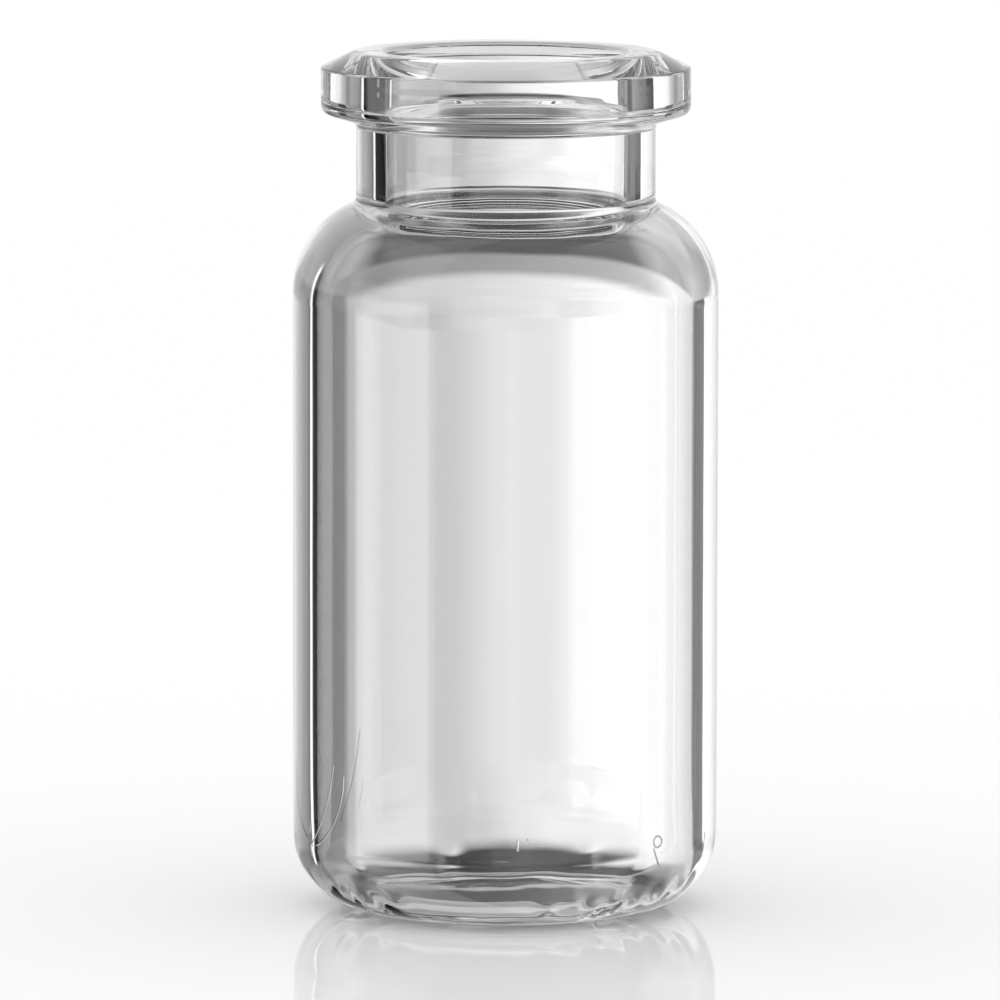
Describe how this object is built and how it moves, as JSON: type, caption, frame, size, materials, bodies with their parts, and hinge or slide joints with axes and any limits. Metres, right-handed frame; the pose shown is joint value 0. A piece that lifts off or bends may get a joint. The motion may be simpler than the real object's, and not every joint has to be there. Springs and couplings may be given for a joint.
{
  "type": "glass sample vial",
  "caption": "Clear glass sample vial with a rounded shoulder, a short neck and a wide crimp lip with a bevelled crest. Open mouth.",
  "frame": {"origin": "centre of the foot, in the plane that the vial stands on", "axes": "+Z along the vial's axis, out of the mouth. The vial is round, so X and Y are any two directions across it"},
  "size_m": [0.023, 0.023, 0.0465],
  "materials": {
    "clear_glass": "clear colourless glass, fire polished"
  },
  "bodies": {
    "root": {"glass_vial": "clear_glass"}
  },
  "joints": []
}
